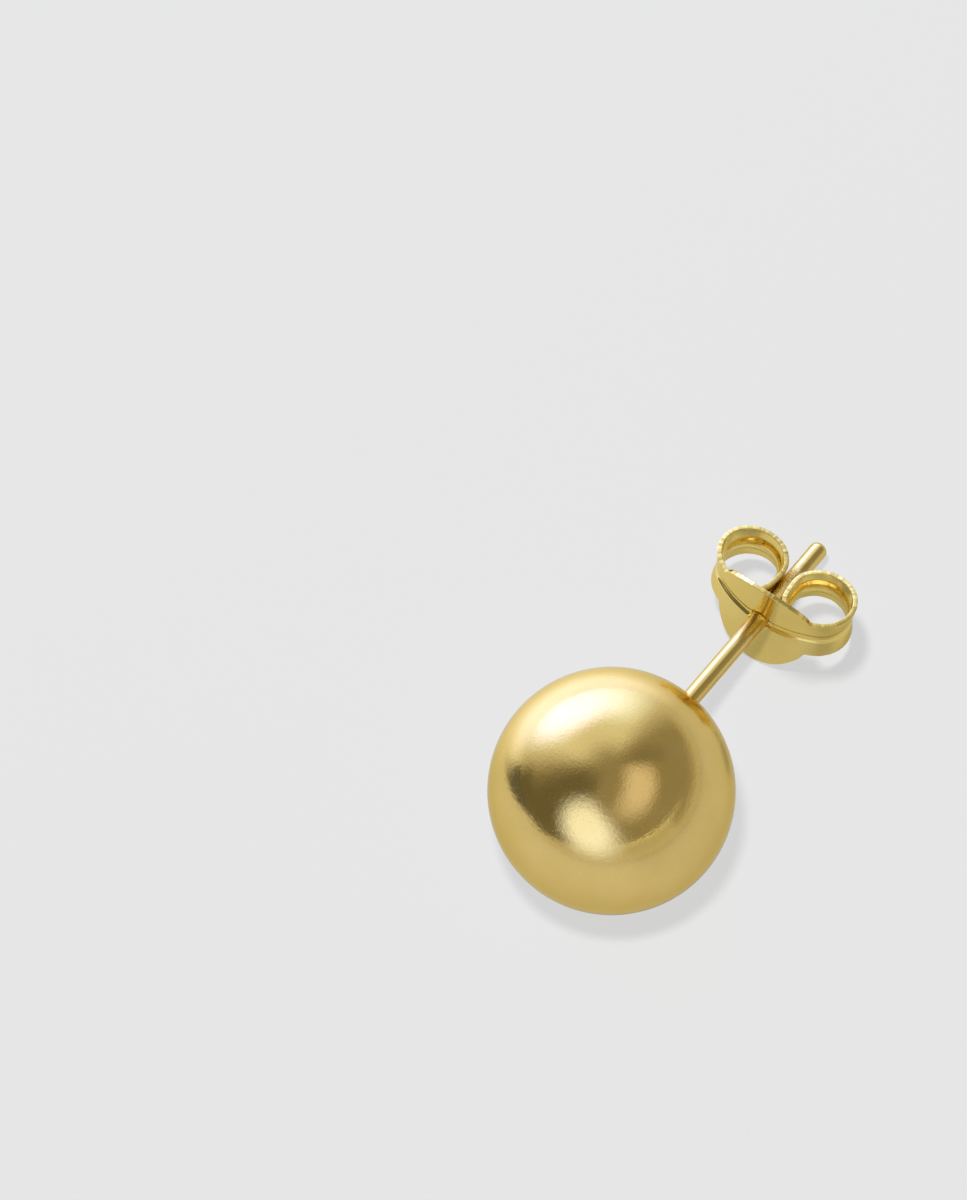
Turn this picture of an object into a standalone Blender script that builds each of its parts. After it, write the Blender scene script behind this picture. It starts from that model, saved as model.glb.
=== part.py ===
"""Gold ball stud earring with its butterfly clutch pushed part of the way along the post.

The stud lies as it would lie by itself: on its ball and on the lower edge of the clutch's round plate.
Each node is drawn along its own post axis, +Y from the ball's centre to the post's tip, +X across the
two loops, and an empty at the ball's centre turns the post down until the plate's edge meets the floor.
"""

import math

import bpy

MM = 0.001

# Ball and post, soldered into one solid
BALL_D = 10.0
POST_D = 0.75
POST_LENGTH = 10.10
TIP_ROUND = 0.28
SOLDER_FILLET = 0.20

# Clutch: one stamped strip with a round middle, rolled into two loops
CLUTCH_AT = 5.62
SHEET = 0.20
PLATE_D = 4.71
PLATE_MIDDLE = 0.75
PLATE_BOW = 0.44
PLATE_FOLD = 8.0
STRIP_W = 2.10
STRIP_FOLD = 6.5
LOOP_D = 2.76
LOOP_GROOVE = 0.13
CURL_END = 10.0
CURL_GAP = 0.05
CURL_SPREAD = 0.14
POST_CLEARANCE = 0.05

# Fineness of the faceted solids
BALL_STEPS = 64
BALL_RINGS = 32
HOLE_STEPS = 48
PLATE_FACETS = 7
LOOP_STEP = 9.0
CORNER_POWER = 14

# The strip along one loop, from the plate's corner to the curl's end.
# share of the turn, width as a share of STRIP_W, groove depth as a share of LOOP_GROOVE
STRIP_TABLE = (
    (0.00, 1.00, 0.35),
    (0.18, 0.97, 0.50),
    (0.45, 0.77, 0.80),
    (0.68, 0.77, 1.00),
    (0.92, 0.74, 1.00),
    (1.00, 0.66, 1.00),
)

ball_r = BALL_D / 2
post_r = POST_D / 2
tip_round = min(TIP_ROUND, post_r * 0.95)
plate_r = PLATE_D / 2
loop_r = LOOP_D / 2
channel_r = post_r + POST_CLEARANCE
loop_x = channel_r - LOOP_GROOVE + loop_r
loop_y = PLATE_BOW + loop_r
join_angle = 2 * math.atan(PLATE_BOW / loop_x)
bow_r = loop_x / math.sin(join_angle) + loop_r
bow_length = bow_r * join_angle
full_turn = 2 * math.pi
curl_from = math.radians(235)
curl_full = math.radians(290)
curl_end = full_turn + math.radians(CURL_END)
plate_slope = math.tan(math.radians(PLATE_FOLD))
strip_slope = math.tan(math.radians(STRIP_FOLD))


def table_value(share, column):
    """Value of one column of the strip table at a share of the turn, straight between its rows."""
    for low, high in zip(STRIP_TABLE, STRIP_TABLE[1:]):
        if share <= high[0]:
            part = (share - low[0]) / (high[0] - low[0])
            return low[column] + (high[column] - low[column]) * part
    return STRIP_TABLE[-1][column]


def loop_radius(angle):
    """Outer radius of the loop. It is round at first, and then its curl runs straight along the post,
    spreads a little, and lies flat on the back of the plate."""
    if angle <= curl_from:
        return loop_r
    beside_post = loop_r / max(-math.sin(angle), 0.2)
    spread = loop_r + CURL_SPREAD
    back_r = bow_r - SHEET - CURL_GAP
    toward = loop_x * math.sin(angle) + (bow_r - loop_y) * math.cos(angle)
    apart = (bow_r - loop_r) ** 2 - back_r**2
    on_plate = math.sqrt(toward**2 - apart) - toward
    limits = (beside_post, spread, on_plate)
    curled = sum(limit**-CORNER_POWER for limit in limits) ** (-1 / CORNER_POWER)
    part = min((angle - curl_from) / (curl_full - curl_from), 1.0)
    return loop_r + (curled - loop_r) * part


def path_point(length):
    """Place on the middle of the strip at a length from the post."""
    if length <= bow_length:
        angle = length / bow_r
        return bow_r * math.sin(angle), bow_r - bow_r * math.cos(angle)
    angle = join_angle + (length - bow_length) / loop_r
    radius = loop_radius(angle)
    return loop_x + radius * math.sin(angle), loop_y - radius * math.cos(angle)


def strip_point(length):
    """Place, outward normal and share of the turn at a length along the strip from the post."""
    before = path_point(length - 0.02)
    after = path_point(length + 0.02)
    step = math.dist(before, after)
    normal = ((after[1] - before[1]) / step, (before[0] - after[0]) / step)
    turned = (length - bow_length) / loop_r / (curl_end - join_angle)
    return path_point(length), normal, min(max(turned, 0.0), 1.0)


def strip_lengths():
    """Lengths from the post of the sections of one half of the strip."""
    corner_angle = math.acos(min(STRIP_W / PLATE_D, 0.99))
    first = math.asin(min(PLATE_MIDDLE / PLATE_D, 0.5 * math.sin(corner_angle)))
    lengths = []
    for i in range(PLATE_FACETS + 1):
        angle = first + (corner_angle - first) * i / PLATE_FACETS
        lengths.append(plate_r * math.sin(angle))
    end = bow_length + (curl_end - join_angle) * loop_r
    count = math.ceil((end - lengths[-1]) / (math.radians(LOOP_STEP) * loop_r))
    corner = lengths[-1]
    for i in range(1, count + 1):
        lengths.append(corner + (end - corner) * i / count)
    return lengths


def section(length):
    """Half width, fold slope and groove of the strip at a length from the post."""
    share = strip_point(length)[2]
    half = STRIP_W * table_value(share, 1) / 2
    slope = strip_slope
    corner = math.sqrt(max(plate_r**2 - (STRIP_W / 2) ** 2, 0.0))
    if length < corner:
        half = max(half, math.sqrt(plate_r**2 - length**2))
    blend = min(max((length - 0.6 * corner) / (0.8 * corner + 0.001), 0.0), 1.0)
    slope = plate_slope + (strip_slope - plate_slope) * blend
    groove = LOOP_GROOVE * table_value(share, 2)
    return half, slope, groove


def groove_edge(slope, groove):
    """Half width at which a channel of the post's size, pressed in to the groove's depth, ends."""
    away = channel_r - groove
    inside = (away * slope) ** 2 - (1 + slope**2) * (away**2 - channel_r**2)
    return (away * slope + math.sqrt(inside)) / (1 + slope**2)


def strip_row(length, side):
    """Points across the strip at a length from the post, side +1 or -1 for the two loops."""
    place, normal, _ = strip_point(length)
    half, slope, groove = section(length)
    edge = min(groove_edge(slope, groove), 0.8 * half)
    points = []
    for across in (-half, -edge, -0.6 * edge, 0.0, 0.6 * edge, edge, half):
        out = slope * abs(across)
        if abs(across) < edge:
            out = channel_r - groove - math.sqrt(channel_r**2 - across**2)
        x = place[0] + normal[0] * out
        y = place[1] + normal[1] * out
        points.append((side * x * MM, y * MM, across * MM))
    return points


def resting_tilt():
    """Angle of the post below level when the ball and the lower edge of the plate meet the floor."""
    middle = strip_lengths()[0]
    fold = math.atan(section(middle)[1])
    low_edge = strip_row(middle, 1)[0]
    along = ball_r + CLUTCH_AT + low_edge[1] / MM + SHEET * math.cos(fold)
    down = -low_edge[2] / MM + SHEET * math.sin(fold)
    return math.asin(ball_r / math.hypot(along, down)) - math.atan2(down, along)


tilt = resting_tilt()
tip_reach = (
    (ball_r + POST_LENGTH - tip_round) * math.cos(tilt)
    + (post_r - tip_round) * math.sin(tilt)
    + tip_round
)


def gold(name, colour, roughness):
    """Metal material with its own name."""
    material = bpy.data.materials.new(name)
    material.use_nodes = True
    shader = material.node_tree.nodes["Principled BSDF"]
    shader.inputs["Base Color"].default_value = (*colour, 1.0)
    shader.inputs["Metallic"].default_value = 1.0
    shader.inputs["Roughness"].default_value = roughness
    material.diffuse_color = (*colour, 1.0)
    return material


def mesh_object(name, points, faces, edges=()):
    """Object from points and faces, linked to the scene's collection."""
    mesh = bpy.data.meshes.new(name)
    mesh.from_pydata(points, edges, faces)
    mesh.update()
    made = bpy.data.objects.new(name, mesh)
    bpy.context.scene.collection.objects.link(made)
    return made


def ball_profile():
    """Half outline of ball, solder fillet, post and rounded tip, from pole to tip."""
    away = post_r + SOLDER_FILLET
    centre_y = math.sqrt((ball_r + SOLDER_FILLET) ** 2 - away**2)
    fillet_angle = math.atan2(away, centre_y)
    points = []
    for i in range(BALL_RINGS + 1):
        angle = math.pi - (math.pi - fillet_angle) * i / BALL_RINGS
        points.append((ball_r * math.sin(angle), ball_r * math.cos(angle)))
    for i in range(1, 5):
        angle = math.pi - fillet_angle - (math.pi / 2 - fillet_angle) * i / 4
        points.append((away - SOLDER_FILLET * math.sin(angle), centre_y + SOLDER_FILLET * math.cos(angle)))
    tip = ball_r + POST_LENGTH
    for i in range(6):
        angle = math.pi / 2 * i / 5
        across = post_r - tip_round + tip_round * math.cos(angle)
        points.append((across, tip - tip_round + tip_round * math.sin(angle)))
    points.append((0.0, tip))
    points[0] = (0.0, -ball_r)
    return [(x * MM, y * MM, 0.0) for x, y in points]


for thing in list(bpy.data.objects):
    bpy.data.objects.remove(thing, do_unlink=True)

root = bpy.data.objects.new("earring", None)
bpy.context.scene.collection.objects.link(root)
root.location = (0.0, (ball_r - tip_reach) / 2 * MM, ball_r * MM)
root.rotation_euler = (-tilt, 0.0, 0.0)

profile = ball_profile()
outline = [(i, i + 1) for i in range(len(profile) - 1)]
ball = mesh_object("ball_post", profile, (), outline)
ball.data.materials.append(gold("satin gold", (0.83, 0.62, 0.26), 0.22))
ball.parent = root
turn = ball.modifiers.new("turn round the post axis", "SCREW")
turn.axis = "Y"
turn.angle = full_turn
turn.steps = BALL_STEPS
turn.render_steps = BALL_STEPS
turn.use_merge_vertices = True
turn.merge_threshold = 0.000001
turn.use_smooth_shade = False
turn.use_normal_flip = True

half_strip = strip_lengths()
rows = [strip_row(length, -1) for length in reversed(half_strip)]
rows += [strip_row(length, 1) for length in half_strip]
across_count = len(rows[0])
strip_points = [point for row in rows for point in row]
strip_faces = []
for i in range(len(rows) - 1):
    for j in range(across_count - 1):
        a = i * across_count + j
        strip_faces.append((a, a + across_count, a + across_count + 1, a + 1))
clutch = mesh_object("butterfly_clutch", strip_points, strip_faces)
clutch.data.materials.append(gold("bright gold", (0.86, 0.64, 0.24), 0.12))
clutch.parent = root
clutch.location = (0.0, (ball_r + CLUTCH_AT) * MM, 0.0)
thick = clutch.modifiers.new("sheet thickness", "SOLIDIFY")
thick.thickness = SHEET * MM
thick.offset = -1.0
thick.use_even_offset = True
thick.use_rim = True

cutters = bpy.data.collections.new("cutters")
bpy.context.scene.collection.children.link(cutters)
hole_from = -1.0
hole_to = SHEET + 0.4
ring = [(math.sin(full_turn * i / HOLE_STEPS), math.cos(full_turn * i / HOLE_STEPS)) for i in range(HOLE_STEPS)]
hole_points = [(channel_r * x * MM, hole_from * MM, channel_r * z * MM) for x, z in ring]
hole_points += [(channel_r * x * MM, hole_to * MM, channel_r * z * MM) for x, z in ring]
hole_faces = [tuple(reversed(range(HOLE_STEPS))), tuple(range(HOLE_STEPS, 2 * HOLE_STEPS))]
for i in range(HOLE_STEPS):
    n = (i + 1) % HOLE_STEPS
    hole_faces.append((i, n, n + HOLE_STEPS, i + HOLE_STEPS))
hole = mesh_object("post_hole_cutter", hole_points, hole_faces)
bpy.context.scene.collection.objects.unlink(hole)
cutters.objects.link(hole)
hole.parent = clutch
hole.hide_render = True
hole.display_type = "WIRE"
cut = clutch.modifiers.new("post hole", "BOOLEAN")
cut.operation = "DIFFERENCE"
cut.solver = "EXACT"
cut.object = hole
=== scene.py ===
import math

import bmesh
import bpy
from mathutils import Matrix, Vector, noise


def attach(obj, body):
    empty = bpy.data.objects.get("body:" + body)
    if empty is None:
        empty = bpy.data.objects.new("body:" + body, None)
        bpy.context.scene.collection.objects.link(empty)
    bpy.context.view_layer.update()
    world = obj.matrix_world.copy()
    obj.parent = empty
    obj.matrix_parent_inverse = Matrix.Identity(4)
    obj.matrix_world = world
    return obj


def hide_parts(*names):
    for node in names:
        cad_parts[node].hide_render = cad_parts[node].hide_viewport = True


MM = 0.001

# The same named sizes as the source of the solids, in millimetres.
BALL_D = 10.0
POST_D = 0.75
POST_LENGTH = 10.10
TIP_ROUND = 0.28
SOLDER_FILLET = 0.20
CLUTCH_AT = 5.62
SHEET = 0.20
PLATE_D = 4.71
PLATE_BOW = 0.44
PLATE_FOLD = math.radians(8.0)
STRIP_W = 2.10
STRIP_FOLD = math.radians(6.5)
LOOP_D = 2.76
LOOP_GROOVE = 0.13
CURL_FROM = math.radians(235.0)
CURL_FULL = math.radians(290.0)
CURL_END = math.radians(10.0)
CURL_GAP = 0.05
CURL_SPREAD = 0.14
POST_CLEARANCE = 0.05
CORNER_POWER = 14
LEAST_SINE = 0.2

# Share of the turn, width as a share of STRIP_W, groove as a share of LOOP_GROOVE.
STRIP_TABLE = (
    (0.00, 1.00, 0.35),
    (0.18, 0.97, 0.50),
    (0.45, 0.77, 0.80),
    (0.68, 0.77, 1.00),
    (0.92, 0.74, 1.00),
    (1.00, 0.66, 1.00),
)

# Where the plate's steeper fold goes over into the strip's, as shares of the plate's corner.
FOLD_BLEND_FROM = 0.6
FOLD_BLEND_SPAN = 0.8
FOLD_BLEND_LEAST = 0.001

# The sheet's cut edge, and how it draws in at the ends of the strip.
EDGE_ROUND = 0.024
EDGE_SHARE = 0.45
END_DRAW = 0.98
END_RIM_SHARE = 0.6

# Wavering of the two rims: height, pace along the strip, and where each lies in the noise.
RIM_WAVES = (
    (0.012, 1.9, 9.0, 1.7),
    (0.014, 7.3, 5.0, 4.2),
)

# The dimple round the post hole, and the soft lips of the pressed groove.
DIMPLE_DEPTH = 0.035
DIMPLE_WIDTH = 0.10
DIMPLE_REACH = 1.2
GROOVE_LIP = 0.014
GROOVE_BACK_LIP = 0.05

# The sharper line that the press left inside the groove's edge.
CREASE_DEPTH = 0.070
CREASE_WIDTH = 0.045
CREASE_INSET = 0.05
CREASE_START = 0.42
CREASE_RISE = 0.2
CREASE_STOP = 2.8
CREASE_FALL = 0.8

# How unevenly the solder lies at the foot of the post.
LUMP_HEIGHT = 0.030
LUMP_SPAN = 0.16
LUMP_PACE = 2.6
LUMP_AT = Vector((7.1, 0.0, 3.3))
LUMP_OUTER = 1.4
LUMP_FADE = 0.8

# How finely the two pieces are cut up.
BALL_ROWS = 120
FILLET_ROWS = 10
POST_ROWS = 60
TIP_ROWS = 10
STUD_SIDES = 192
HOLE_SIDES = 96
STRIP_STEP = 0.05
SLOPE_STEP = 0.02
END_SHARES = (0.25, 0.5, 0.75, 0.92, 1.0)
FACE_STEPS = 38
EDGE_STEPS = 4
FACE_POINTS = 2 * FACE_STEPS + 1
EDGE_POINTS = 2 * EDGE_STEPS
ROW_CROWDING = 1.25
ROW_WIDENING = 0.8

# How far the tool that cuts the post hole reaches in front of the plate and behind it.
CUTTER_FRONT = 1.0
CUTTER_BACK = 0.4

# How the stud lies on the table: the middle of the ball, and the dip of the post.
BALL_MIDDLE = Vector((0.0, -4.807, 5.0))
POST_DIP = math.asin(0.259627)

# The camera's own axes and place, fitted to the picture.
CAMERA_RIGHT = Vector((0.8177109, 0.5741880, -0.0407068))
CAMERA_UP = Vector((-0.5239598, 0.7717313, 0.3604119))
CAMERA_BACK = Vector((0.2383589, -0.2733840, 0.9319046))
BALL_RIGHT_OF_MIDDLE = 5.150
BALL_BELOW_MIDDLE = 7.680
FRAME_HEIGHT = 48.27
LENS = 900.0
SENSOR = 36.0

# The distances between which the camera sees, in metres.
NEAREST = 0.01
FARTHEST = 10.0

ball_r = BALL_D / 2
post_r = POST_D / 2
plate_r = PLATE_D / 2
loop_r = LOOP_D / 2
tip_at = ball_r + POST_LENGTH
fillet_out = post_r + SOLDER_FILLET
fillet_at = math.sqrt((ball_r + SOLDER_FILLET) ** 2 - fillet_out**2)
channel_r = post_r + POST_CLEARANCE
loop_x = channel_r - LOOP_GROOVE + loop_r
loop_y = PLATE_BOW + loop_r
join_angle = 2 * math.atan(PLATE_BOW / loop_x)
bow_r = loop_x / math.sin(join_angle) + loop_r
bow_length = bow_r * join_angle
turn_angle = math.tau + CURL_END - join_angle
end_length = bow_length + turn_angle * loop_r
plate_corner = math.sqrt(plate_r**2 - (STRIP_W / 2) ** 2)

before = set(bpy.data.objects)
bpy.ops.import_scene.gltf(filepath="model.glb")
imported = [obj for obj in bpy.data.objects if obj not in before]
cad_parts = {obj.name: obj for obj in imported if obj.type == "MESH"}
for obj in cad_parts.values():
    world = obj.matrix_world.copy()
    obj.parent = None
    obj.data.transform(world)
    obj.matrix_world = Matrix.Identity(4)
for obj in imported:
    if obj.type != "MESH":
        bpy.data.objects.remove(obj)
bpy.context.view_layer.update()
to_world = Matrix.Translation(BALL_MIDDLE) @ Matrix.Rotation(-POST_DIP, 4, "X")
to_axis = Matrix.Rotation(POST_DIP, 4, "X") @ Matrix.Translation(-BALL_MIDDLE * MM)


def placed(x, y, z):
    """A point along the stud's own axes, in millimetres, as a place in the scene."""
    return (to_world @ Vector((x, y, z))) * MM


def clamp(value):
    return min(max(value, 0.0), 1.0)


def smooth(value):
    value = clamp(value)
    return value * value * (3 - 2 * value)


def softer_min(a, b, reach):
    """The smaller of two numbers, rounded off where they meet."""
    share = max(reach - abs(a - b), 0.0) / reach
    return min(a, b) - share * share * reach / 4


def spaced(start, stop, count):
    """Even steps from start to stop, without start itself."""
    return [start + (stop - start) * i / count for i in range(1, count + 1)]


def make_object(name, data):
    piece = bpy.data.objects.new(name, data)
    bpy.context.scene.collection.objects.link(piece)
    return piece


def built(shape, name, mesh_name):
    """The finished shape as a new object."""
    mesh = bpy.data.meshes.new(mesh_name)
    shape.to_mesh(mesh)
    shape.free()
    return make_object(name, mesh)


def face_outwards(shape):
    bmesh.ops.recalc_face_normals(shape, faces=shape.faces)


def shade_smooth(piece):
    for face in piece.data.polygons:
        face.use_smooth = True


# The ball with its soldered post, turned as one profile.


def stud_profile():
    """Rows of (along the post, radius), from the far side of the ball to the tip."""
    rows = []
    seam = math.atan2(fillet_out, fillet_at)
    for angle in spaced(math.pi, seam, BALL_ROWS):
        rows.append((ball_r * math.cos(angle), ball_r * math.sin(angle)))
    for angle in spaced(seam, math.pi / 2, FILLET_ROWS):
        along = fillet_at - SOLDER_FILLET * math.cos(angle)
        rows.append((along, fillet_out - SOLDER_FILLET * math.sin(angle)))
    straight_to = tip_at - TIP_ROUND
    for along in spaced(fillet_at, straight_to, POST_ROWS):
        rows.append((along, post_r))
    for angle in spaced(0.0, math.pi / 2, TIP_ROWS):
        along = straight_to + TIP_ROUND * math.sin(angle)
        rows.append((along, post_r - TIP_ROUND + TIP_ROUND * math.cos(angle)))
    return rows


def solder_lump(spot, along, radius):
    """How far the solder's foot stands out from an even round."""
    near = math.exp(-(((along - ball_r) / LUMP_SPAN) ** 2))
    lump = noise.noise(spot * LUMP_PACE + LUMP_AT)
    return LUMP_HEIGHT * near * lump * smooth((LUMP_OUTER - radius) / LUMP_FADE)


def make_stud():
    shape = bmesh.new()
    back = shape.verts.new(placed(0, -ball_r, 0))
    front = shape.verts.new(placed(0, tip_at, 0))
    rings = []
    for along, radius in stud_profile():
        ring = []
        for j in range(STUD_SIDES):
            angle = math.tau * j / STUD_SIDES
            side = Vector((math.cos(angle), 0, math.sin(angle)))
            spot = Vector((0, along, 0)) + side * radius
            spot += side * solder_lump(spot, along, radius)
            ring.append(shape.verts.new(placed(*spot)))
        rings.append(ring)
    for j in range(STUD_SIDES):
        k = (j + 1) % STUD_SIDES
        shape.faces.new((back, rings[0][k], rings[0][j]))
        for a, b in zip(rings, rings[1:]):
            shape.faces.new((a[j], a[k], b[k], b[j]))
        shape.faces.new((front, rings[-1][j], rings[-1][k]))
    face_outwards(shape)
    piece = built(shape, "stud_skin", "stud")
    shade_smooth(piece)
    return piece


# The butterfly clutch, one strip of sheet rolled into two loops.


def table(share, column):
    """A value of STRIP_TABLE at a share of the turn."""
    for low, high in zip(STRIP_TABLE, STRIP_TABLE[1:]):
        if share <= high[0]:
            part = (share - low[0]) / (high[0] - low[0])
            return low[column] + (high[column] - low[column]) * part
    return STRIP_TABLE[-1][column]


def loop_radius(angle):
    """The loop is round at first, then its curl runs along the post and the plate's back."""
    if angle <= CURL_FROM:
        return loop_r
    beside_post = loop_r / max(-math.sin(angle), LEAST_SINE)
    spread = loop_r + CURL_SPREAD
    back_r = bow_r - SHEET - CURL_GAP
    toward = loop_x * math.sin(angle) + (bow_r - loop_y) * math.cos(angle)
    apart = (bow_r - loop_r) ** 2 - back_r**2
    on_plate = math.sqrt(toward**2 - apart) - toward
    limits = (beside_post, spread, on_plate)
    curled = sum(limit**-CORNER_POWER for limit in limits) ** (-1 / CORNER_POWER)
    part = min((angle - CURL_FROM) / (CURL_FULL - CURL_FROM), 1.0)
    return loop_r + (curled - loop_r) * part


def path_point(length):
    if length <= bow_length:
        angle = length / bow_r
        return bow_r * math.sin(angle), bow_r - bow_r * math.cos(angle)
    angle = join_angle + (length - bow_length) / loop_r
    radius = loop_radius(angle)
    return loop_x + radius * math.sin(angle), loop_y - radius * math.cos(angle)


def strip_place(length):
    """Where the strip's outer face runs, and which way it looks."""
    x, y = path_point(length)
    x0, y0 = path_point(max(length - SLOPE_STEP, 0.0))
    x1, y1 = path_point(length + SLOPE_STEP)
    tx = x1 - x0
    ty = y1 - y0
    run = math.hypot(tx, ty)
    return (x, y), (ty / run, -tx / run)


def strip_section(length):
    """Half the strip's width, the slope of its fold and the depth of its groove."""
    share = clamp((length - bow_length) / loop_r / turn_angle)
    half = STRIP_W * table(share, 1) / 2
    if length < plate_corner:
        half = max(half, math.sqrt(plate_r**2 - length**2))
    past = length - FOLD_BLEND_FROM * plate_corner
    blend = clamp(past / (FOLD_BLEND_SPAN * plate_corner + FOLD_BLEND_LEAST))
    slope = math.tan(PLATE_FOLD)
    slope += (math.tan(STRIP_FOLD) - slope) * blend
    groove = LOOP_GROOVE * table(share, 2)
    return half, slope, groove


def face_heights(across, slope, groove):
    """How far the outer and the inner face stand from the strip's path."""
    lean = math.sqrt(1 + slope * slope)
    outer = slope * across
    inner = slope * across - SHEET * lean
    middle = channel_r - groove
    if across < channel_r:
        pressed = middle - math.sqrt(channel_r**2 - across**2)
        outer = softer_min(outer, pressed, GROOVE_LIP)
    back = channel_r + SHEET
    if across < back:
        pressed = middle - math.sqrt(back**2 - across**2)
        inner = softer_min(inner, pressed, GROOVE_BACK_LIP)
    return outer, inner


def end_inset(length):
    """How far each face draws in where the strip's end is rounded off."""
    to_end = end_length - length
    if to_end >= EDGE_ROUND:
        return 0.0
    past = EDGE_ROUND - max(to_end, 0)
    return (EDGE_ROUND - math.sqrt(EDGE_ROUND**2 - past**2)) * END_DRAW


def rim_reach(signed, side, half, inset):
    """How far the strip reaches to one side, with its wavering rim."""
    reach = half
    for height, pace, apart, layer in RIM_WAVES:
        reach += height * noise.noise(Vector((signed * pace, side * apart, layer)))
    return reach - inset * END_RIM_SHARE


def crease(signed, across, groove):
    """How deep the press line is. It shows on one wing only."""
    if signed > 0 or across > 0:
        return 0.0
    edge = math.sqrt(max(channel_r**2 - (channel_r - groove) ** 2, 0.0)) - CREASE_INSET
    where = smooth((-signed - CREASE_START) / CREASE_RISE)
    where *= smooth((CREASE_STOP + signed) / CREASE_FALL)
    return CREASE_DEPTH * where * math.exp(-(((across + edge) / CREASE_WIDTH) ** 2))


def section_ring(signed):
    """One closed ring of points round the strip at a place along it."""
    length = abs(signed)
    mirror = -1.0 if signed < 0 else 1.0
    (px, py), (nx, ny) = strip_place(length)
    half, slope, groove = strip_section(length)
    lean = math.sqrt(1 + slope * slope)
    inset = end_inset(length)
    low = rim_reach(signed, -1.0, half, inset)
    high = rim_reach(signed, 1.0, half, inset)

    def spot(across, height):
        x = px + nx * height
        y = py + ny * height
        away = math.hypot(x, across)
        if length < DIMPLE_REACH and height > -SHEET / 2:
            dip = DIMPLE_DEPTH * math.exp(-(((away - channel_r) / DIMPLE_WIDTH) ** 2))
            x -= nx * dip
            y -= ny * dip
        return placed(mirror * x, ball_r + CLUTCH_AT + y, across)

    outer_row = []
    inner_row = []
    for i in range(FACE_POINTS):
        t = i / FACE_STEPS - 1
        # Rows crowd towards the groove and stay even elsewhere.
        spread = math.copysign(abs(t) ** ROW_CROWDING, t)
        across = spread * ((high if spread > 0 else low) - EDGE_ROUND)
        outer = face_heights(abs(across), slope, groove)[0]
        outer_row.append((across, outer - inset - crease(signed, across, groove)))
        wider = math.copysign(SHEET * slope / lean, spread)
        across += wider * smooth(abs(across) / ROW_WIDENING)
        inner = face_heights(abs(across), slope, groove)[1]
        inner_row.append((across, inner + inset))

    ring = [spot(*point) for point in outer_row]
    ring += edge_points(outer_row[-1], inner_row[-1], 1.0, slope, spot)
    ring += [spot(*point) for point in reversed(inner_row)]
    ring += edge_points(inner_row[0], outer_row[0], -1.0, slope, spot)
    return ring


def edge_points(start, stop, side, slope, spot):
    """The cut edge of the sheet from one face to the other, with both corners rounded."""
    out = Vector((side, slope)) / math.sqrt(1 + slope * slope)
    a = Vector(start)
    b = Vector(stop)
    gap = (b - a).length
    radius = min(EDGE_ROUND, gap * EDGE_SHARE)
    down = (b - a) / gap
    points = []
    for i in range(1, EDGE_STEPS + 1):
        turn = math.pi / 2 * i / EDGE_STEPS
        here = a + out * (radius * math.sin(turn)) + down * (radius * (1 - math.cos(turn)))
        points.append(spot(here.x, here.y))
    for i in range(EDGE_STEPS):
        turn = math.pi / 2 * i / EDGE_STEPS
        here = b + out * (radius * math.cos(turn)) - down * (radius * (1 - math.sin(turn)))
        points.append(spot(here.x, here.y))
    return points


def make_clutch():
    straight_to = end_length - EDGE_ROUND
    count = int(straight_to / STRIP_STEP)
    lengths = [i * straight_to / count for i in range(count + 1)]
    for share in END_SHARES:
        lengths.append(end_length - EDGE_ROUND * (1 - share))
    places = [-length for length in reversed(lengths[1:])] + lengths
    shape = bmesh.new()
    rings = []
    for place in places:
        rings.append([shape.verts.new(point) for point in section_ring(place)])
    # The strip's own map: millimetres along it, and share of the way round it.
    strip = shape.loops.layers.uv.new("strip")
    size = len(rings[0])
    for i, (a, b) in enumerate(zip(rings, rings[1:])):
        for j in range(size):
            k = (j + 1) % size
            face = shape.faces.new((a[j], a[k], b[k], b[j]))
            face.material_index = int(j % (FACE_POINTS + EDGE_POINTS) >= FACE_POINTS - 1)
            along = (places[i], places[i], places[i + 1], places[i + 1])
            rounds = (j, j + 1, j + 1, j)
            for corner, place, turn in zip(face.loops, along, rounds):
                corner[strip].uv = (place, turn / size)
    for ring in (rings[0], rings[-1]):
        face = shape.faces.new(ring)
        face.material_index = 1
    face_outwards(shape)
    piece = built(shape, "clutch_skin", "clutch")
    pierce(piece)
    shade_smooth(piece)
    return piece


def pierce(piece):
    """The hole for the post, cut through the plate."""
    cutter = hole_cutter()
    cut = piece.modifiers.new("post hole", "BOOLEAN")
    cut.operation = "DIFFERENCE"
    cut.solver = "EXACT"
    cut.object = cutter
    bpy.context.view_layer.update()
    graph = bpy.context.evaluated_depsgraph_get()
    done = bpy.data.meshes.new_from_object(piece.evaluated_get(graph))
    piece.modifiers.clear()
    piece.data = done
    bpy.data.objects.remove(cutter)


def hole_cutter():
    shape = bmesh.new()
    ends = []
    for along in (-CUTTER_FRONT, SHEET + CUTTER_BACK):
        ring = []
        for i in range(HOLE_SIDES):
            angle = math.tau * i / HOLE_SIDES
            x = channel_r * math.cos(angle)
            z = channel_r * math.sin(angle)
            ring.append(shape.verts.new(placed(x, ball_r + CLUTCH_AT + along, z)))
        ends.append(ring)
    for i in range(HOLE_SIDES):
        k = (i + 1) % HOLE_SIDES
        shape.faces.new((ends[0][i], ends[0][k], ends[1][k], ends[1][i]))
    shape.faces.new(ends[0])
    shape.faces.new(ends[1])
    face_outwards(shape)
    return built(shape, "hole", "hole")


# Materials.


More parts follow.
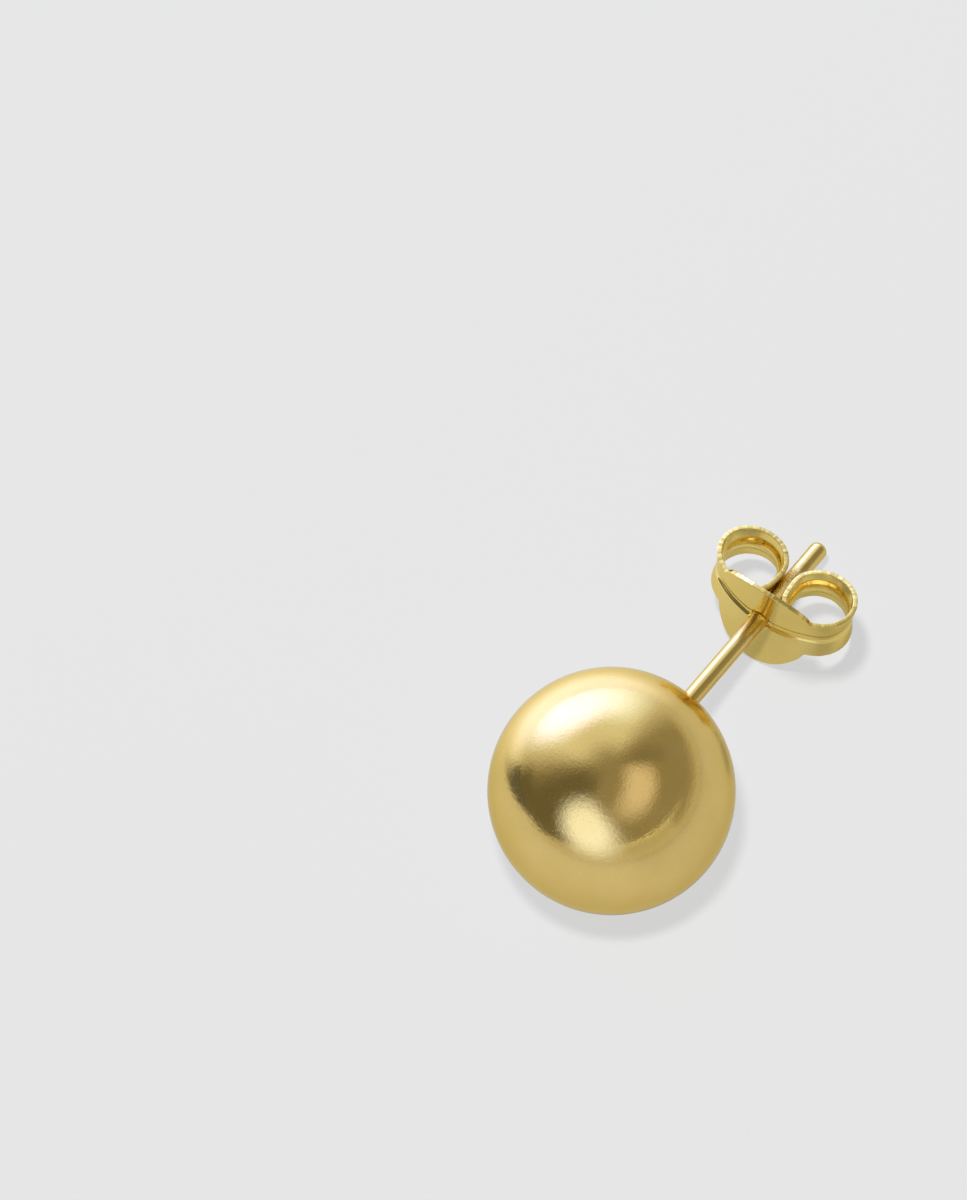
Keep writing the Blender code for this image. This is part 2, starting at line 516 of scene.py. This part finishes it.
class Nodes:
    """Short calls for wiring shader nodes together."""

    def __init__(self, tree):
        self.tree = tree
        tree.nodes.clear()

    def add(self, kind, **settings):
        node = self.tree.nodes.new(kind)
        for name, value in settings.items():
            setattr(node, name, value)
        return node

    def link(self, source, target):
        self.tree.links.new(source, target)

    def value(self, socket, what):
        """Wires a socket to another, or sets it. Colours are given as red, green and blue."""
        if isinstance(what, bpy.types.NodeSocket):
            self.link(what, socket)
        elif socket.type == "RGBA":
            socket.default_value = (*what, 1.0)
        else:
            socket.default_value = what

    def split(self, vector):
        node = self.add("ShaderNodeSeparateXYZ")
        self.link(vector, node.inputs[0])
        return node.outputs

    def math(self, operation, a, b=0.0, c=0.0):
        node = self.add("ShaderNodeMath", operation=operation)
        self.value(node.inputs[0], a)
        self.value(node.inputs[1], b)
        self.value(node.inputs[2], c)
        return node.outputs[0]

    def plus(self, a, b):
        return self.math("ADD", a, b)

    def minus(self, a, b):
        return self.math("SUBTRACT", a, b)

    def times(self, a, b):
        return self.math("MULTIPLY", a, b)

    def times_plus(self, a, b, c):
        return self.math("MULTIPLY_ADD", a, b, c)

    def distance(self, a, b):
        return self.math("SQRT", self.plus(self.times(a, a), self.times(b, b)))

    def steps(self, value, low, high, to_low=0.0, to_high=1.0):
        """A soft step between two limits. It falls where low is more than high."""
        node = self.add("ShaderNodeMapRange", interpolation_type="SMOOTHSTEP")
        self.value(node.inputs["Value"], value)
        node.inputs["From Min"].default_value = low
        node.inputs["From Max"].default_value = high
        node.inputs["To Min"].default_value = to_low
        node.inputs["To Max"].default_value = to_high
        return node.outputs["Result"]

    def band(self, value, rise, fall):
        return self.times(self.steps(value, *rise), self.steps(value, *fall))

    def mix(self, share, a, b):
        node = self.add("ShaderNodeMix", data_type="RGBA")
        self.value(node.inputs["Factor"], share)
        colours = [s for s in node.inputs if s.type == "RGBA"]
        self.value(colours[0], a)
        self.value(colours[1], b)
        return [s for s in node.outputs if s.type == "RGBA"][0]

    def noise(self, where, scale, detail, roughness):
        """Noise with one scale, or with a scale for each axis."""
        if isinstance(scale, tuple):
            stretch = self.add("ShaderNodeMapping")
            self.link(where, stretch.inputs["Vector"])
            stretch.inputs["Scale"].default_value = scale
            where = stretch.outputs["Vector"]
            scale = 1.0
        node = self.add("ShaderNodeTexNoise")
        self.link(where, node.inputs["Vector"])
        node.inputs["Scale"].default_value = scale
        node.inputs["Detail"].default_value = detail
        node.inputs["Roughness"].default_value = roughness
        return node.outputs["Fac"]

    def bump(self, height, strength, distance, normal=None):
        node = self.add("ShaderNodeBump")
        self.link(height, node.inputs["Height"])
        node.inputs["Strength"].default_value = strength
        node.inputs["Distance"].default_value = distance
        if normal is not None:
            self.link(normal, node.inputs["Normal"])
        return node.outputs["Normal"]


# Noise on the gold: waves a metre, or for each axis, then detail and roughness.
CLOUD = (420.0, 3.0, 0.55)
FINE = (5200.0, 2.0, 0.6)
SKIN = (7500.0, 2.0, 0.6)
DUST = (14000.0, 1.0, 0.5)
PITS = (13000.0, 1.0, 0.5)
PECKS = (9000.0, 3.0, 0.6)
HAIRS = ((900.0, 5200.0, 7400.0), 2.0, 0.6)
HAIRS_ACROSS = ((7000.0, 800.0, 4300.0), 2.0, 0.6)
WIRE_LINES = ((9000.0, 160.0, 9000.0), 2.0, 0.6)
RUBBING = ((3800.0, 1000.0, 3800.0), 3.0, 0.6)
# Waves a millimetre along the strip, and waves in a turn round it.
SHEAR_TICKS = ((7.0, 3.0, 1.0), 3.0, 0.7)

# The limits between which each noise fades in.
CLOUD_FADE = (0.32, 0.68)
POLISH_FADE = (0.36, 0.66)
DUST_FADE = (0.64, 0.76)
PIT_FADE = (0.64, 0.74)
TICK_FADE = (0.48, 0.66)
RUB_FADE = (0.42, 0.58)
STREAK_FADE = (0.56, 0.68)

# Metres along the post from the ball's middle: where the clutch has rubbed it, and the
# shorter stretch that the curls hold.
GRIP_RISE = (0.0086, 0.0098)
GRIP_FALL = (0.0142, 0.0132)
HOLD_RISE = (0.0114, 0.0118)
HOLD_FALL = (0.0136, 0.0132)

# Relief: strength and height in metres.
PIT_BUMP = (0.6, 0.000002)
TICK_BUMP = (0.4, 0.00002)
WIRE_BUMP = (0.35, 0.00001)
RUB_BUMP = (0.3, 0.00001)
PECK_BUMP = (0.9, 0.00006)
SKIN_HEIGHT = 0.00002
HAIR_HEIGHT = 0.000004

# Colours, shares, and what the marks add to the roughness.
CLOUD_SHARE = 0.5
EDGE_TINT = (0.93, 0.85, 0.55)
PIT_TONE = (0.45, 0.30, 0.08)
PIT_SHARE = 0.12
TICK_TONE = (0.70, 0.50, 0.17)
TICK_ROUGH = 0.12
WORN_TONE = (0.60, 0.38, 0.11)
WORN_ROUGH = 0.10
RUB_SHARE = 0.70
STREAK_SHARE = 0.35
DUST_ROUGH = 0.14

# Name, light and deep tone, smoothest and roughest polish, orange peel, hair marks, finish.
GOLDS = (
    ("drawn_gold", (0.90, 0.68, 0.25), (0.85, 0.62, 0.20), 0.15, 0.23, 0.10, 0.40, "drawn"),
    ("satin_gold", (0.88, 0.65, 0.235), (0.84, 0.61, 0.205), 0.09, 0.15, 0.22, 0.50, "plain"),
    ("bright_gold", (0.92, 0.71, 0.235), (0.88, 0.67, 0.20), 0.08, 0.16, 0.10, 0.35, "plain"),
    ("sheared_gold", (0.95, 0.77, 0.27), (0.91, 0.70, 0.22), 0.16, 0.26, 0.10, 0.40, "sheared"),
)


def sheared_marks(n, colour, rough, normal):
    """Short marks of the cutting tool, across the thickness of the sheet."""
    strip = n.add("ShaderNodeUVMap", uv_map="strip").outputs["UV"]
    ticks = n.noise(strip, *SHEAR_TICKS)
    tick = n.steps(ticks, *TICK_FADE)
    colour = n.mix(tick, colour, TICK_TONE)
    rough = n.times_plus(tick, TICK_ROUGH, rough)
    return colour, rough, n.bump(ticks, *TICK_BUMP, normal)


def drawn_marks(n, where, colour, rough, normal):
    """Lines of the drawing plate along the wire, and rubbing where the clutch grips."""
    turned = n.add("ShaderNodeMapping")
    n.link(where, turned.inputs["Vector"])
    turned.inputs["Location"].default_value = to_axis.to_translation()
    turned.inputs["Rotation"].default_value = to_axis.to_euler()
    turned = turned.outputs["Vector"]
    along = n.split(turned)[1]
    wire = n.noise(turned, *WIRE_LINES)
    normal = n.bump(wire, *WIRE_BUMP, normal)
    rub = n.steps(n.noise(turned, *RUBBING), *RUB_FADE)
    rub = n.times(rub, n.band(along, GRIP_RISE, GRIP_FALL))
    streak = n.steps(wire, *STREAK_FADE)
    worn = n.math("MAXIMUM", n.times(rub, RUB_SHARE), n.times(streak, STREAK_SHARE))
    colour = n.mix(worn, colour, WORN_TONE)
    rough = n.times_plus(worn, WORN_ROUGH, rough)
    normal = n.bump(rub, *RUB_BUMP, normal)
    pecks = n.times(n.noise(where, *PECKS), n.band(along, HOLD_RISE, HOLD_FALL))
    return colour, rough, n.bump(pecks, *PECK_BUMP, normal)


def gold(name, light, deep, smoothest, roughest, peel, scratch, finish):
    """Polished gold with a faint orange peel, handling marks and uneven polish."""
    material = bpy.data.materials.new(name)
    material.use_nodes = True
    n = Nodes(material.node_tree)
    out = n.add("ShaderNodeOutputMaterial")
    shader = n.add("ShaderNodeBsdfPrincipled")
    n.link(shader.outputs["BSDF"], out.inputs["Surface"])
    n.value(shader.inputs["Metallic"], 1.0)
    n.value(shader.inputs["Specular Tint"], EDGE_TINT)
    where = n.add("ShaderNodeTexCoord").outputs["Object"]
    cloud = n.noise(where, *CLOUD)
    colour = n.mix(n.steps(cloud, *CLOUD_FADE), deep, light)
    fine = n.noise(where, *FINE)
    wear = n.plus(n.times(cloud, CLOUD_SHARE), n.times(fine, 1 - CLOUD_SHARE))
    polish = n.steps(wear, *POLISH_FADE, smoothest, roughest)
    dust = n.steps(n.noise(where, *DUST), *DUST_FADE)
    rough = n.plus(polish, n.times(dust, DUST_ROUGH))
    normal = n.bump(n.noise(where, *SKIN), peel, SKIN_HEIGHT)
    pits = n.steps(n.noise(where, *PITS), *PIT_FADE)
    normal = n.bump(pits, *PIT_BUMP, normal)
    colour = n.mix(n.times(pits, PIT_SHARE), colour, PIT_TONE)
    if finish == "sheared":
        colour, rough, normal = sheared_marks(n, colour, rough, normal)
    if finish == "drawn":
        colour, rough, normal = drawn_marks(n, where, colour, rough, normal)
    marks = n.plus(n.noise(where, *HAIRS), n.noise(where, *HAIRS_ACROSS))
    n.link(colour, shader.inputs["Base Color"])
    n.link(rough, shader.inputs["Roughness"])
    n.link(n.bump(marks, scratch, HAIR_HEIGHT, normal), shader.inputs["Normal"])
    return material


# The table: what it scatters, how it glows to the camera and how bright the gold sees it, as
# painted bounce light with painted light and shade in it.
TABLE_RADIUS = 3.0
TABLE_SIDES = 128
FLOOR_MATT = 0.10
FLOOR_GLOW = 0.457
PAINTED_BOUNCE_GLOW = 0.355
WHITE = (1.0, 1.0, 1.0)
BLACK = (0.0, 0.0, 0.0)

# A painted pool of window light on the table beside the big window, seen only by the gold. The
# sides are slopes, the start is millimetres.
WINDOW_BEARING = 151.0
WINDOW_LEFT = (1.9, 0.3)
WINDOW_RIGHT = (-1.15, -0.25)
WINDOW_START = (0.0, 30.0)
PAINTED_WINDOW_GLOW = 0.73
PAINTED_WINDOW_HUE = (0.90, 1.05, 2.05)
PAINTED_BOUNCE_HUE = (1.0, 1.0, 0.97)

# A stretch of painted shade on the table, between two fades in millimetres, and what it takes
# away.
SHADE_STRETCH_BEARING = 142.9
SHADE_STRETCH_AWAY = 11.2
SHADE_STRETCH_RISE = (0.0, 4.0)
SHADE_STRETCH_SIDE_BEARING = 107.0
SHADE_STRETCH_FALL = (5.0, -5.0)
SHADE_STRETCH_DIMS = -0.80

# Painted light and shade in the glow the gold sees, over the table and round the ball and the
# clutch: the limits in millimetres, then what the glow goes from and to.
FAR_FADE = (25.0, 130.0)
FAR_DIMS = -0.06
FARTHER_FADE = (150.0, 800.0, 0.0, 0.30)
SLANT_BEARING = 50.0
SLANT_FADE = (-3.0, 9.0, 1.03, 0.86)
BALL_SHADE = (2.0, 15.0, 0.68, 1.0)
CLUTCH_SHADE = (0.6, 2.8, 0.68, 1.0)
CLUTCH_SHADE_X = 4.8
CLUTCH_SHADE_Y = 4.6


def table_with_painted_light():
    """A pale table, even to the camera. The gold sees painted light in its glow: a painted pool
    of window light beside the big window, and painted shade round the ball, the clutch and in a
    stretch beyond the ball.
    """
    material = bpy.data.materials.new("table_painted_light")
    material.use_nodes = True
    n = Nodes(material.node_tree)
    out = n.add("ShaderNodeOutputMaterial")
    place = n.split(n.add("ShaderNodeNewGeometry").outputs["Position"])
    x = n.times(place[0], 1 / MM)
    y = n.times(place[1], 1 / MM)

    def along(bearing, start=0.0):
        """Millimetres towards a bearing from the point under the ball."""
        a = math.radians(bearing)
        level = n.times_plus(y, math.sin(a), n.times(x, math.cos(a)))
        return n.minus(level, start + BALL_MIDDLE.y * math.sin(a))

    # A painted pool of window light on the table, which only the gold sees.
    ahead = along(WINDOW_BEARING)
    aside = along(WINDOW_BEARING - 90.0)
    ratio = n.math("DIVIDE", aside, n.math("MAXIMUM", ahead, 1.0))
    lit = n.band(ratio, WINDOW_LEFT, WINDOW_RIGHT)
    lit = n.times(n.steps(ahead, *WINDOW_START), lit)
    # Painted shade in a stretch of the table beyond the ball, as the gold sees it.
    painted_shade_stretch = n.steps(along(SHADE_STRETCH_BEARING, SHADE_STRETCH_AWAY), *SHADE_STRETCH_RISE)
    painted_shade_stretch = n.times(painted_shade_stretch, n.steps(along(SHADE_STRETCH_SIDE_BEARING), *SHADE_STRETCH_FALL))
    by_painted_shade_stretch = n.times_plus(painted_shade_stretch, SHADE_STRETCH_DIMS, 1.0)
    from_ball = n.distance(ahead, aside)
    # The painted shadow of the clutch on the table, as the gold sees it.
    from_clutch = n.distance(n.minus(x, CLUTCH_SHADE_X), n.minus(y, CLUTCH_SHADE_Y))
    painted_clutch_shadow = n.steps(from_clutch, *CLUTCH_SHADE)
    # Painted bounce light: the glow that the gold sees on the table, a little dimmer farther out.
    painted_bounce = n.times_plus(n.steps(from_ball, *FAR_FADE), FAR_DIMS, PAINTED_BOUNCE_GLOW)
    # The lamps don't reach the far table, so painted light makes it glow more there.
    painted_bounce = n.plus(painted_bounce, n.steps(from_ball, *FARTHER_FADE))
    # Painted light that fades along a slant across the table.
    painted_bounce = n.times(painted_bounce, n.steps(along(SLANT_BEARING), *SLANT_FADE))
    # Painted shade round the ball and the painted shadow of the clutch.
    painted_bounce = n.times(painted_bounce, n.times(n.steps(from_ball, *BALL_SHADE), painted_clutch_shadow))
    # The painted pool of window light adds to the glow.
    painted_bounce = n.times_plus(lit, PAINTED_WINDOW_GLOW, painted_bounce)
    # The stretch of painted shade darkens the glow.
    painted_bounce = n.times(painted_bounce, by_painted_shade_stretch)

    # The camera sees the table's even glow. All other rays see the painted light and shade.
    seen = n.add("ShaderNodeLightPath").outputs["Is Camera Ray"]
    unseen = n.minus(1.0, seen)
    glow = n.add("ShaderNodeEmission")
    # The painted window light is bluer than the rest of the painted glow.
    hue = n.mix(lit, PAINTED_BOUNCE_HUE, PAINTED_WINDOW_HUE)
    n.link(n.mix(seen, hue, WHITE), glow.inputs["Color"])
    strength = n.plus(n.times(seen, FLOOR_GLOW), n.times(unseen, painted_bounce))
    n.link(strength, glow.inputs["Strength"])
    matt = n.add("ShaderNodeBsdfDiffuse")
    # Painted shade in the scatter the gold sees: the matt colour darkens in the painted shadow of
    # the clutch and in the stretch of painted shade.
    painted_shade_share = n.times(n.minus(1.0, n.times(painted_clutch_shadow, by_painted_shade_stretch)), unseen)
    pale = (FLOOR_MATT, FLOOR_MATT, FLOOR_MATT)
    n.link(n.mix(painted_shade_share, pale, BLACK), matt.inputs["Color"])
    both = n.add("ShaderNodeAddShader")
    n.link(glow.outputs[0], both.inputs[0])
    n.link(matt.outputs[0], both.inputs[1])
    n.link(both.outputs[0], out.inputs["Surface"])
    return material


def make_floor():
    shape = bmesh.new()
    bmesh.ops.create_circle(shape, cap_ends=True, segments=TABLE_SIDES, radius=TABLE_RADIUS)
    floor = built(shape, "table_top", "table")
    floor.data.materials.append(table_with_painted_light())


# Light. What the gold mirrors is painted into the world by direction, as a soft studio.
BACKDROP_TONE = 0.799
AROUND_GLOW = 0.10
STUDIO_BASE = (0.30, 0.275, 0.215)
STUDIO_PATCHES = (
    # kind, bearing and height in degrees, half width, half height, softness, slant, tone
    ("ellipse", 6.0, 57.0, 42.0, 17.0, 0.60, 1.0, (0.77, 0.72, 0.74)),
    ("panel", 42.0, 26.0, 46.0, 15.0, 7.0, 0.10, (0.31, 0.29, 0.235)),
    ("ellipse", 60.0, 57.0, 12.0, 22.0, 0.60, 0.0, (0.24, 0.225, 0.18)),
    ("panel", 144.0, 20.0, 53.0, 50.0, 16.0, 0.0, (0.78, 0.81, 0.82)),
    ("panel", -118.0, 28.0, 29.0, 48.0, 14.0, 0.0, (0.150, 0.137, 0.105)),
    ("panel", -137.0, -2.0, 22.0, 17.0, 7.0, 0.0, (0.150, 0.137, 0.105)),
    ("panel", -92.0, -2.0, 34.0, 10.0, 2.0, 0.30, (0.55, 0.53, 0.47)),
    ("panel", -30.0, 2.0, 32.0, 12.5, 1.2, 0.0, (0.51, 0.50, 0.43)),
    ("panel", 25.0, 0.0, 90.0, 6.0, 9.0, 0.0, (0.61, 0.60, 0.53)),
    ("ellipse", -20.0, 15.8, 34.0, 1.5, 0.7, 0.0, (0.85, 0.85, 0.72)),
    ("ellipse", -79.0, 30.0, 27.0, 23.0, 0.52, -0.36, (1.14, 1.30, 1.90)),
    ("panel", 142.0, 11.0, 36.0, 26.0, 15.0, 0.0, (1.22, 1.48, 2.45)),
    ("ellipse", 150.0, 16.0, 26.0, 20.0, 0.60, 0.0, (1.70, 1.86, 4.50)),
)


def studio():
    world = bpy.data.worlds.new("studio")
    bpy.context.scene.world = world
    world.use_nodes = True
    n = Nodes(world.node_tree)
    out = n.add("ShaderNodeOutputWorld")
    x, y, z = n.split(n.add("ShaderNodeTexCoord").outputs["Generated"])
    bearing = n.times(n.math("ARCTAN2", y, x), 180 / math.pi)
    rise = n.times(n.math("ARCSINE", z), 180 / math.pi)

    def away(centre):
        """Degrees from a bearing, from -180 to 180."""
        return n.math("WRAP", n.minus(bearing, centre), 180.0, -180.0)

    def ellipse(at, high, wide, tall, soft, slant):
        up = n.minus(rise, high)
        across = n.minus(away(at), n.times(up, slant))
        a = n.math("DIVIDE", across, wide)
        b = n.math("DIVIDE", up, tall)
        return n.steps(n.distance(a, b), 1 + soft, 1 - soft)

    def panel(at, high, wide, tall, soft, slant):
        across = away(at)
        up = n.minus(n.minus(rise, high), n.times(across, slant))
        one = n.steps(n.math("ABSOLUTE", across), wide + soft, wide - soft)
        two = n.steps(n.math("ABSOLUTE", up), tall + soft, tall - soft)
        return n.times(one, two)

    def background(colour, strength=1.0):
        node = n.add("ShaderNodeBackground")
        n.value(node.inputs["Color"], colour)
        n.value(node.inputs["Strength"], strength)
        return node.outputs[0]

    def choose(share, first, second):
        node = n.add("ShaderNodeMixShader")
        n.link(share, node.inputs[0])
        n.link(first, node.inputs[1])
        n.link(second, node.inputs[2])
        return node.outputs[0]

    lit = STUDIO_BASE
    for kind, at, high, wide, tall, soft, slant, tone in STUDIO_PATCHES:
        shape = ellipse if kind == "ellipse" else panel
        lit = n.mix(shape(at, high, wide, tall, soft, slant), lit, tone)

    path = n.add("ShaderNodeLightPath")
    around = background(WHITE, AROUND_GLOW)
    light = choose(path.outputs["Is Diffuse Ray"], background(lit), around)
    backdrop = background(WHITE, BACKDROP_TONE)
    light = choose(path.outputs["Is Camera Ray"], light, backdrop)
    n.link(light, out.inputs["Surface"])


# The lamps' distance from the middle of the table in metres, and their power in watts.
LAMP_AWAY = 0.6
LAMP_POWER = 5.25
WINDOW_LAMP_POWER = LAMP_POWER * 1.25


def add_lamp(name, bearing, rise, size, power, shaded_by):
    """A soft lamp that only lights the table, with the shadow of one piece."""
    data = bpy.data.lights.new(name, "AREA")
    data.shape = "DISK"
    data.size = size
    data.energy = power
    lamp = make_object(name, data)
    bearing = math.radians(bearing)
    rise = math.radians(rise)
    level = math.cos(rise)
    away = Vector((level * math.cos(bearing), level * math.sin(bearing), math.sin(rise)))
    lamp.location = away * LAMP_AWAY
    lamp.rotation_euler = away.to_track_quat("Z", "Y").to_euler()
    lamp.visible_camera = False
    lamp.visible_glossy = False
    blockers = bpy.data.collections.new(name + "_shade")
    blockers.objects.link(shaded_by)
    lamp.light_linking.blocker_collection = blockers


def make_camera():
    data = bpy.data.cameras.new("camera")
    data.lens = LENS
    data.sensor_width = SENSOR
    data.clip_start = NEAREST
    data.clip_end = FARTHEST
    camera = make_object("camera", data)
    turn = Matrix((CAMERA_RIGHT, CAMERA_UP, CAMERA_BACK)).transposed().to_4x4()
    distance = FRAME_HEIGHT * LENS / SENSOR
    place = BALL_MIDDLE - CAMERA_RIGHT * BALL_RIGHT_OF_MIDDLE
    place = place + CAMERA_UP * BALL_BELOW_MIDDLE + CAMERA_BACK * distance
    camera.matrix_world = Matrix.Translation(place * MM) @ turn
    bpy.context.scene.camera = camera


# The drawn gold of the post starts this far before the end of the solder fillet, in metres.
DRAWN_FROM = 0.00012

golds = {row[0]: gold(*row) for row in GOLDS}

stud = make_stud()
stud.data.materials.append(golds["satin_gold"])
stud.data.materials.append(golds["drawn_gold"])
post_start = placed(0, fillet_at, 0)
along_post = (placed(0, 1, 0) - placed(0, 0, 0)).normalized()
for face in stud.data.polygons:
    if (face.center - post_start).dot(along_post) > -DRAWN_FROM:
        face.material_index = 1
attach(stud, "stud")
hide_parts("ball_post")

clutch = make_clutch()
clutch.data.materials.append(golds["bright_gold"])
clutch.data.materials.append(golds["sheared_gold"])
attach(clutch, "clutch")
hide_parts("butterfly_clutch")

make_floor()
studio()
add_lamp("overhead", bearing=-74.0, rise=83.0, size=0.070, power=LAMP_POWER, shaded_by=stud)
add_lamp(
    "window_side", bearing=146.0, rise=70.0, size=0.110, power=WINDOW_LAMP_POWER, shaded_by=clutch
)
make_camera()
bpy.context.scene.view_settings.view_transform = "Standard"
